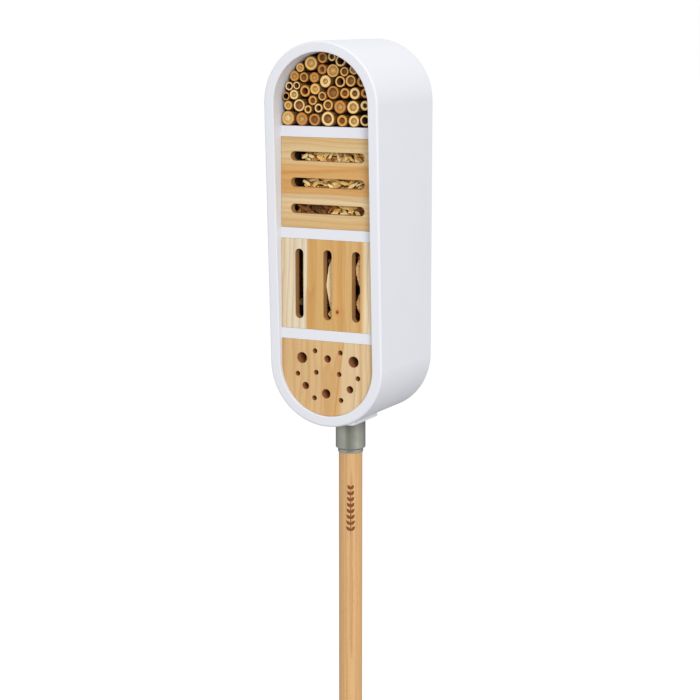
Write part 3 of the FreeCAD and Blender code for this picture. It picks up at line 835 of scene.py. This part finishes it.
def make_cane(bm, layers, tube, look, chance):
    """One tube: spun, pushed slightly out of round, and its end sawn a little askew."""
    wall, core = look
    before = set(bm.verts)
    profile = [(radius, -height) for radius, height in cane_profile(tube, core)]
    spun(bm, profile, CANE_STEPS, (tube["x"], 0, tube["z"]), (0, -1, 0))
    made = [vert for vert in bm.verts if vert not in before]
    seed = chance.uniform(0, 40)
    tilt_x = chance.uniform(-0.05, 0.05)
    tilt_z = chance.uniform(-0.04, 0.05)
    wall_tone = WALL_TONES[wall] + chance.uniform(-0.08, 0.08)
    core_tone_and_shade = CORE_TONES_AND_SHADE[core] + chance.uniform(-0.05, 0.05)
    skin_start = tube["front"] + 0.25 * MM
    for vert in made:
        across = vert.co.x - tube["x"]
        up = vert.co.z - tube["z"]
        reach = math.hypot(across, up)
        share = reach / tube["r"]
        angle = math.atan2(up, across)
        direction = Vector((math.cos(angle), math.sin(angle), 0.0))
        lumps = noise.noise(direction * 1.1 + Vector((seed, 0, vert.co.y * 12)))
        ragged = noise.noise(direction * 3.0 + Vector((0, seed, 0)))
        swell = 1 + share * (0.035 * lumps - 0.02)
        vert.co.x = tube["x"] + across * swell
        vert.co.z = tube["z"] + up * swell
        if vert.co.y < tube["front"] + 3 * MM:
            vert.co.y += tilt_x * across + tilt_z * up + 0.12 * MM * ragged
        inside = share < 1.02 * tube["bore"] / tube["r"]
        vert[layers["wall_share"]] = share
        vert[layers["wall_tone"]] = min(max(wall_tone, 0), 1)
        vert[layers["core_tone_and_shade"]] = min(max(core_tone_and_shade, 0), 1)
        vert[layers["core_share"]] = min(reach / tube["bore"], 1)
        vert[layers["in_core"]] = 1.0 if inside else 0.0
        vert[layers["on_skin"]] = 1.0 if share > 0.93 and vert.co.y > skin_start else 0.0


def cane_row(number, looks):
    """One layer of tubes, in the places and sizes of the CAD's."""
    node = "bamboo_row_%d" % number
    bm = bmesh.new()
    names = ("wall_share", "wall_tone", "core_tone_and_shade", "core_share", "in_core", "on_skin")
    layers = {name: bm.verts.layers.float.new(name) for name in names}
    chance = random.Random(100 + number)
    tubes = sorted(tubes_of(node), key=lambda tube: tube["x"])
    for tube, look in zip(tubes, looks.split()):
        make_cane(bm, layers, tube, look, chance)
    close_poles(bm)
    finish_piece(bm, "cane_tubes_%d" % number, "hotel", [CANE], (node,), 50)


# ---------------------------------------------------------------- loose filling
def splinter(bm, layer, place, size, turn, tone, chance):
    """A torn chip: a slab cut into five lengths, tapered, bent and twisted."""
    made = bmesh.ops.create_cube(bm, size=1.0)
    edges = {edge for vert in made["verts"] for edge in vert.link_edges}
    lengthwise = [edge for edge in edges if abs(edge.verts[0].co.x - edge.verts[1].co.x) > 0.5]
    bmesh.ops.subdivide_edges(bm, edges=lengthwise, cuts=4)
    seed = Vector((chance.uniform(0, 60), chance.uniform(0, 60), 0))
    bend = chance.uniform(-0.3, 0.3)
    twist = chance.uniform(-0.9, 0.9)
    for vert in [vert for vert in bm.verts if vert[layer] == 0.0]:
        along, across, thick = vert.co
        torn = noise.noise(Vector((along * 7, across * 3, 0)) + seed)
        taper = 1 - 0.45 * abs(2 * along) ** 3 + 0.5 * torn
        spin = Matrix.Rotation(twist * along, 3, "X")
        section = spin @ Vector((0, size[1] * across * taper, size[2] * thick * (0.75 + 0.5 * torn)))
        section.x = size[0] * (along + 0.09 * torn)
        section.z += size[0] * bend * along * along
        vert.co = place + turn @ section
        vert[layer] = max(tone, 0.02)


def slab_turn(chance, lean):
    """A chip's attitude: mostly along X, facing outwards, leaning at random."""
    roll = Matrix.Rotation(math.radians(90) + chance.gauss(0, lean * 0.7), 3, "X")
    yaw = Matrix.Rotation(chance.gauss(0, lean * 0.5), 3, "Z")
    pitch = Matrix.Rotation(chance.gauss(0, lean), 3, "Y")
    return yaw @ pitch @ roll


def keep_between(bm, bottom, top):
    """Hold a loose filling between two heights, between the side walls, and between the back
    panel and the depth that it may reach into the board's slots."""
    side = BAND_RADIUS - BAND_WALL - 1 * MM
    in_slots = BOARD_BACK_Y - 4 * MM
    for vert in bm.verts:
        vert.co.x = min(max(vert.co.x, -side), side)
        vert.co.y = min(max(vert.co.y, in_slots), BACK_PANEL_Y - 0.5 * MM)
        vert.co.z = min(max(vert.co.z, bottom), top)


# The heap of bark: its levels, its layers from front to back, its right end, and the share of its
# height that counts as low.
BARK_LEVELS = 32
BARK_LAYERS = 3
BARK_RIGHT = 52 * MM
LOW_SHARE = 0.36


def heap_tone_and_shade(x, share, depth, chance):
    """Lighter chips on top and in the middle, dark bark low down at both ends, and chips darker the
    further back they lie behind the slots, as painted shade.
    """
    if share < LOW_SHARE and x < -9 * MM:
        return chance.uniform(0.06, 0.22)
    if share < LOW_SHARE and x > 27 * MM:
        return chance.uniform(0.1, 0.4)
    # Chips further back are darker: painted shade behind the slots.
    return min(max(chance.gauss(0.70 - 0.18 * depth, 0.28), 0.08), 1.0)


def bark_filling():
    """Bark and chips heaped behind the wide slots, sunk away at the left."""
    bm = bmesh.new()
    layer = bm.verts.layers.float.new("piece_tone")
    chance = random.Random(7)
    low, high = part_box("bark_chips")
    for level in range(BARK_LEVELS):
        share = (level + 0.5) / BARK_LEVELS
        z = low.z + (high.z - low.z + 3 * MM) * share
        left = (-46 if share < LOW_SHARE else -38 + 2.5 * math.sin(level * 1.9)) * MM
        for depth in range(BARK_LAYERS):
            x = left + chance.uniform(0, 5) * MM
            while x < BARK_RIGHT:
                length = (chance.uniform(6, 15) + 5 * depth) * MM
                size = (length, chance.uniform(2.2, 4.8) * MM, chance.uniform(0.6, 1.5) * MM)
                y = BOARD_BACK_Y + (1.6 + 5.5 * depth + chance.uniform(0, 3)) * MM
                place = Vector((x + length * 0.4, y, z + chance.uniform(-1.5, 1.5) * MM))
                tone = heap_tone_and_shade(x, share, depth, chance)
                splinter(bm, layer, place, size, slab_turn(chance, 0.5), tone, chance)
                x += length * chance.uniform(0.7, 1.1)
    keep_between(bm, low.z, high.z + 6 * MM)
    finish_piece(bm, "bark_and_chips", "hotel", [BARK], ("bark_chips",), 30)


# The board's tall slots, in millimetres as in torn_sheet, and the loose splinters behind them.
TALL_SLOT_PITCH = 35.5
HALF_TALL_SLOT = 39.5
SPLINTERS_BEHIND = 60


def between(points, value):
    """Read a given line of (value, result) points, straight from one point to the next."""
    for (start, first), (end, last) in zip(points, points[1:]):
        if value <= end:
            return first + (last - first) * (value - start) / (end - start)
    return points[-1][1]


def torn_sheet(bm, layer, slot_x, edge, right, depth, bulge, tone, rag, seed):
    """An upright shaving behind a slot, all in millimetres. Its free left edge follows a line
    of (height above the slot's foot, place across the slot), torn as deep as rag; it bulges
    forwards at mid height."""
    low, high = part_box("board_tall_slots")
    foot = (low.z + high.z) / 2 - HALF_TALL_SLOT * MM
    made = bmesh.ops.create_grid(bm, x_segments=8, y_segments=22, size=0.5)
    for vert in made["verts"]:
        u = vert.co.x + 0.5
        v = vert.co.y + 0.5
        height = edge[0][0] + (edge[-1][0] - edge[0][0]) * v
        left = between(edge, height)
        wave = noise.noise(Vector((u * 1.5, v * 4.0, seed)))
        ragged = noise.noise(Vector((v * 16.0, seed, 0)))
        x = slot_x + left + (right - left) * u + rag * ragged * (1 - u)
        forward = bulge * math.sin(math.pi * v) * max(0, 1 - 2 * u) ** 2
        vert.co = Vector((x * MM, BOARD_BACK_Y + (depth - forward + 0.5 * wave) * MM, foot + height * MM))
        vert[layer] = min(max(tone + (0.2 + 0.1 * rag) * wave, 0.03), 1)


def shaving_filling():
    """Curled shavings and torn strips standing behind the tall slots."""
    bm = bmesh.new()
    layer = bm.verts.layers.float.new("piece_tone")
    leaf_edge = [
        (9, -0.9), (13, -1.5), (26, -3.1), (38, -4.7), (46, -4.0), (53, -3.4), (60, -3.2), (67, -0.8),
    ]
    foot_curl = [(1, -0.9), (3, -2.9), (6, -3.9), (9, -2.2), (10, -0.8)]
    torn_sheet(bm, layer, 0, leaf_edge, 13, 1.2, 4.2, 0.95, 0.2, 2.0)
    torn_sheet(bm, layer, 0, foot_curl, 9, 1.0, 1.5, 0.72, 0.3, 3.0)
    upper_bark = [(39, -0.6), (44, -2.2), (48, -3.0), (53, -4.4), (62, -4.6), (69, -1.8)]
    dark_bark = [(62, -4.6), (66, -4.0), (72, -3.6), (75, -1.0)]
    lower_bark = [(9, -0.8), (13, -2.6), (18, -4.2), (22, -3.8), (31, -0.8)]
    left_shade = [(24, -3.0), (50, -3.4), (76, -3.0)]
    torn_sheet(bm, layer, TALL_SLOT_PITCH, upper_bark, 14, 0.7, 0.8, 0.7, 1.2, 4.0)
    torn_sheet(bm, layer, TALL_SLOT_PITCH, dark_bark, 12, 3.4, 0.5, 0.1, 0.8, 5.0)
    torn_sheet(bm, layer, TALL_SLOT_PITCH, lower_bark, 13, 1.0, 0.8, 0.62, 1.2, 6.0)
    torn_sheet(bm, layer, -TALL_SLOT_PITCH, left_shade, 10, 5.0, 0.5, 0.12, 0.4, 7.0)
    bmesh.ops.solidify(bm, geom=bm.faces[:], thickness=0.5 * MM)
    chance = random.Random(11)
    low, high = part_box("wood_shavings")
    for _ in range(SPLINTERS_BEHIND):
        place = Vector((
            chance.uniform(-48, 48) * MM, BOARD_BACK_Y + chance.uniform(16, 70) * MM,
            chance.uniform(low.z + 8 * MM, high.z - 8 * MM),
        ))
        size = (chance.uniform(16, 34) * MM, chance.uniform(6, 14) * MM, chance.uniform(0.8, 1.8) * MM)
        turn = slab_turn(chance, 0.4) @ Matrix.Rotation(math.radians(90), 3, "Y")
        tone = chance.uniform(0.15, 0.6)
        splinter(bm, layer, place, size, turn, tone, chance)
    keep_between(bm, low.z, high.z)
    finish_piece(bm, "torn_shavings", "hotel", [SHAVING], ("wood_shavings",), 40)


# ---------------------------------------------------------------- stake and its mark
# The burnt sprig; its turn is in degrees round the stake, from the front towards the right.
SPRIG_LENGTH = 62 * MM
SPRIG_PAIRS = 8
SPRIG_BELOW_NECK = 67 * MM
SPRIG_TURN = 26.7
LEAF_STEPS = 7


def stake():
    """The turned stake with its ends broken."""
    bm = cad_copy("stake_pole")
    soften(bm, 0.5 * MM, 2, 50)
    finish_piece(bm, "stake", "stake", [STAKE], ("stake_pole",), 40)


def leaf(bm, root, tip, width):
    """A pointed leaf between two points of the flat sprig, as one ngon."""
    along = tip - root
    side = Vector((-along.y, along.x)).normalized()
    outline = []
    for index in range(LEAF_STEPS + 1):
        share = index / LEAF_STEPS
        outline.append(root + along * share + side * width * math.sin(math.pi * share ** 0.8))
    for index in range(LEAF_STEPS - 1, 0, -1):
        share = index / LEAF_STEPS
        outline.append(root + along * share - side * width * math.sin(math.pi * share ** 0.8))
    verts = [bm.verts.new((point.x, point.y, 0)) for point in outline]
    bm.faces.new(verts)


def burnt_sprig():
    """A plain leaf sprig burnt into the stake, laid flat and then wrapped round it."""
    bm = bmesh.new()
    foot = Vector((0, -SPRIG_LENGTH / 2))
    leaf(bm, foot, -foot, 0.6 * MM)
    for index in range(SPRIG_PAIRS):
        y = foot.y + SPRIG_LENGTH * (index + 0.9) / (SPRIG_PAIRS + 0.8)
        spread = (5.2 - 0.28 * index) * MM
        for side in (-1, 1):
            root = Vector((side * 0.3 * MM, y))
            leaf(bm, root, root + Vector((side * spread, 5.2 * MM)), 1.8 * MM)
    bmesh.ops.triangulate(bm, faces=bm.faces[:])
    bmesh.ops.subdivide_edges(bm, edges=bm.edges[:], cuts=1)
    bmesh.ops.solidify(bm, geom=bm.faces[:], thickness=0.25 * MM)
    facing = math.radians(-90 + SPRIG_TURN)
    middle = NECK_BOTTOM - SPRIG_BELOW_NECK
    for vert in bm.verts:
        radius = STAKE_RADIUS + 0.06 * MM + vert.co.z * 0.3
        angle = facing + vert.co.x / STAKE_RADIUS
        vert.co = Vector((radius * math.cos(angle), radius * math.sin(angle), middle + vert.co.y))
    bmesh.ops.recalc_face_normals(bm, faces=bm.faces)
    finish_piece(bm, "burnt_sprig", "stake", [SCORCH])


# ---------------------------------------------------------------- all the pieces
# The parts that keep the CAD's shape: node, piece, slot, material, and its edges' rounding in mm.
HOTEL_PARTS = (
    ("board_wide_slots", "wide_slot_board", "pine", PINE_WIDE, 0.45),
    ("board_tall_slots", "tall_slot_board", "pine", PINE_TALL, 0.45),
    ("nest_block", "drilled_block", "pine", PINE_BLOCK, 0.3),
    ("back_panel", "rear_panel", "pine", PINE_BACK, 0.6),
    ("back_panel_screws", "rear_screws", "zinc_steel", ZINC, 0.15),
    ("saddle_plate", "saddle_pad", "white_plastic", WHITE_PAD, 0.5),
    ("saddle_screws", "saddle_pad_screws", "zinc_steel", ZINC, 0.15),
    ("sleeve", "metal_sleeve", "satin_sleeve", SLEEVE_METAL, 0.15),
    ("sleeve_liner", "plastic_liner", "black_plastic", BLACK, 0.2),
    ("sleeve_bolt", "centre_bolt", "zinc_steel", ZINC, 0.15),
    ("bolt_washer", "centre_washer", "zinc_steel", ZINC, 0.1),
    ("tee_nut", "prong_nut", "zinc_steel", ZINC, 0.15),
)
STAKE_PARTS = (
    ("pole_cap", "stake_cap", "zinc_steel", ZINC, 0.3),
    ("cap_screw", "stake_cap_screw", "zinc_steel", ZINC, 0.15),
    ("spike_socket", "socket_tube", "galvanised_steel", GALVANISED, 0.25),
    ("socket_screws", "socket_tube_screws", "zinc_steel", ZINC, 0.2),
    ("ground_spike", "spike", "galvanised_steel", GALVANISED, 0.4),
)


def build_hotel():
    """Everything that turns and lifts with the band."""
    band()
    for level in ("lower", "middle", "upper"):
        machined("shelf_" + level, "shelf_board_" + level, "hotel", WHITE, 0.5 * MM)
    for node, name, slot, material, edge in HOTEL_PARTS:
        machined(node, name, "hotel", material, edge * MM)
    for number, looks in enumerate(CANE_LOOKS, start=1):
        cane_row(number, looks)
    bark_filling()
    shaving_filling()


def build_stake():
    """What stays put when the hotel lifts off, with the washer that the hotel turns on."""
    stake()
    burnt_sprig()
    for node, name, slot, material, edge in STAKE_PARTS:
        machined(node, name, "stake", material, edge * MM)
    machined("foot_bar", "step_bar", "stake", GALVANISED, 1.0 * MM, 3)
    machined("wear_ring", "turning_washer", "turning_ring", NYLON, 0.2 * MM)


# ---------------------------------------------------------------- floor, light and camera
def ground(name, drop, colour, glow):
    """A wide level sheet below the spike's tip."""
    bm = bmesh.new()
    bmesh.ops.create_grid(bm, x_segments=1, y_segments=1, size=30)
    bmesh.ops.translate(bm, verts=bm.verts, vec=(0, 0, FLOOR_Z - drop))
    mesh = bpy.data.meshes.new(name)
    bm.to_mesh(mesh)
    bm.free()
    material, tree, shader = new_material(name)
    soft = use_group(tree, UNEVEN, {"Vector": own_place(tree), "Size": 1.5, "Depth": 0.01})
    connect(
        tree, shader, Base_Color=toned(tree, colour, soft.outputs["Tone"]), Roughness=0.9,
        Emission_Color=paint(255, 255, 255), Emission_Strength=glow,
    )
    mesh.materials.append(material)
    sheet = bpy.data.objects.new(name, mesh)
    bpy.context.scene.collection.objects.link(sheet)
    return sheet


def floor():
    """The pale floor that is seen, and a greyer card under it that shades the underside."""
    seen = ground("studio_floor", 0.5 * MM, paint(246, 246, 247), 0.08)
    seen.visible_diffuse = False
    seen.visible_glossy = False
    seen.visible_shadow = False
    card = ground("studio_card", 3 * MM, paint(172, 173, 176), 0.0)
    card.visible_camera = False


def soft_light(name, place, target, size, power):
    """A round lamp aimed at a target."""
    light = bpy.data.lights.new(name, "AREA")
    light.shape = "DISK"
    light.size = size
    light.energy = power
    holder = bpy.data.objects.new(name, light)
    holder.location = place
    aim = Vector(target) - Vector(place)
    holder.rotation_euler = aim.to_track_quat("-Z", "Y").to_euler()
    bpy.context.scene.collection.objects.link(holder)


def studio():
    """Even white surroundings, a faint lamp overhead and a brighter one from the front right."""
    floor()
    scene = bpy.context.scene
    world = bpy.data.worlds.new("studio")
    world.use_nodes = True
    background = world.node_tree.nodes["Background"]
    background.inputs["Color"].default_value = (1.0, 1.0, 1.0, 1.0)
    background.inputs["Strength"].default_value = 1.0
    scene.world = world
    scene.view_settings.view_transform = "Standard"
    hotel_middle = (0, 0, (ARC_LOW + ARC_HIGH) / 2)
    soft_light("overhead", (0.4, -0.6, 3.6), hotel_middle, 2.2, 5)
    soft_light("key", (2.6, -3.0, 1.9), hotel_middle, 1.6, 85)


def camera():
    """A long lens from the front right, a little above the hotel's middle."""
    lens = bpy.data.cameras.new("view")
    lens.lens = 101.54
    lens.sensor_width = 36.0
    holder = bpy.data.objects.new("view", lens)
    place = Vector((1.0033, -1.9949, ARC_LOW + 0.3989))
    target = Vector((-0.0008, 0.0, ARC_LOW + 0.0087))
    holder.location = place
    holder.rotation_euler = (target - place).to_track_quat("-Z", "Y").to_euler()
    bpy.context.scene.collection.objects.link(holder)
    bpy.context.scene.camera = holder


build_hotel()
build_stake()
studio()
camera()
